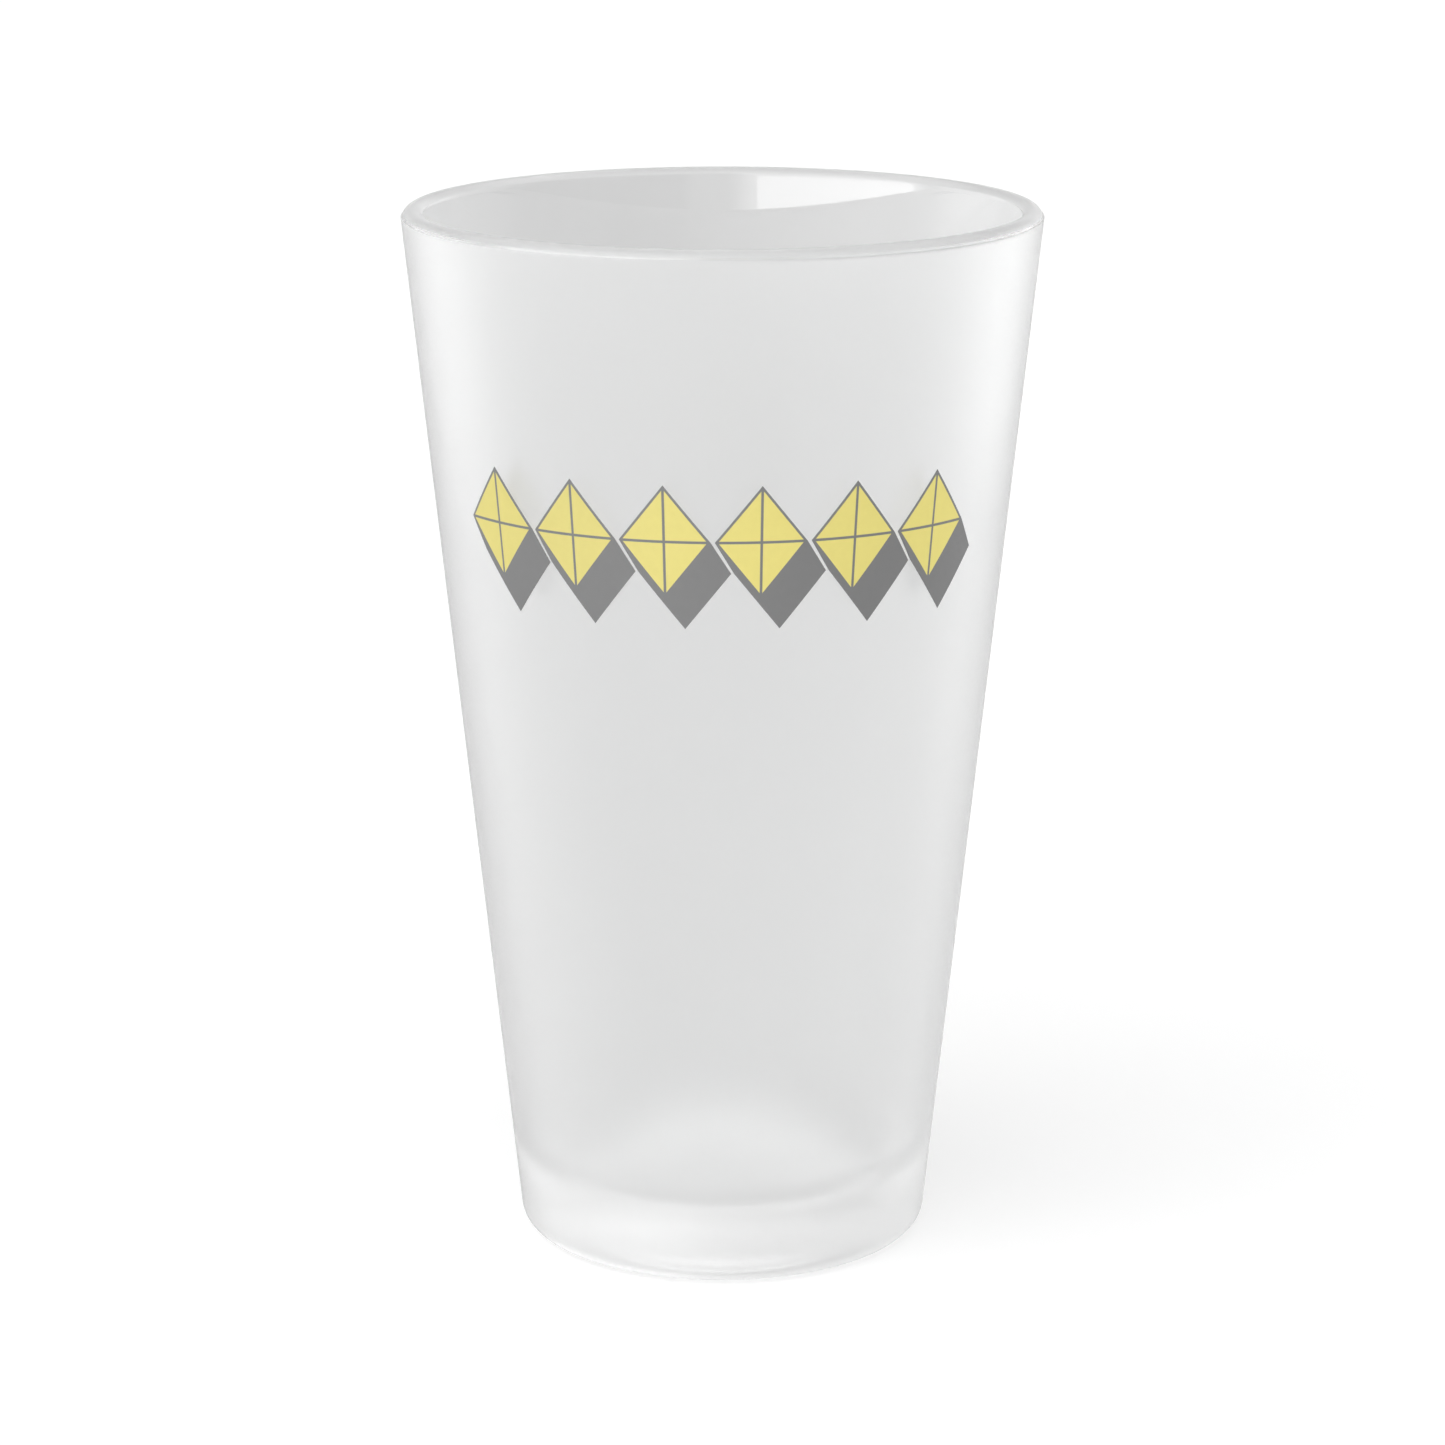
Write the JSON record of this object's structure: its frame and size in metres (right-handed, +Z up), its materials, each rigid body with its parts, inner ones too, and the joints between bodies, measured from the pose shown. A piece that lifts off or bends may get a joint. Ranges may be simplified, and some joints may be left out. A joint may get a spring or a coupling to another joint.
{
  "type": "pint glass",
  "caption": "Tall tapered drinking glass with a clear lip, a heavy base, a frosted outside wall and a printed band of two-colour lozenges round the front.",
  "frame": {"origin": "centre of the foot, on the surface that the glass stands on", "axes": "+Z up the axis of the glass to its mouth; the printed side faces -Y, with +X to the right as the print is read"},
  "size_m": [0.0894, 0.0894, 0.149],
  "materials": {
    "clear_glass": "clear polished soda-lime glass",
    "frosted_coating": "fine satin frosting, translucent",
    "yellow_print": "satin printed ink, warm yellow",
    "grey_print": "satin printed ink, mid grey"
  },
  "bodies": {
    "root": {"glass_body": "clear_glass", "frosted_coat": "frosted_coating", "lozenge_1_yellow_ink": "yellow_print", "lozenge_1_grey_ink": "grey_print", "lozenge_2_yellow_ink": "yellow_print", "lozenge_2_grey_ink": "grey_print", "lozenge_3_yellow_ink": "yellow_print", "lozenge_3_grey_ink": "grey_print", "lozenge_4_yellow_ink": "yellow_print", "lozenge_4_grey_ink": "grey_print", "lozenge_5_yellow_ink": "yellow_print", "lozenge_5_grey_ink": "grey_print", "lozenge_6_yellow_ink": "yellow_print", "lozenge_6_grey_ink": "grey_print"}
  },
  "joints": []
}
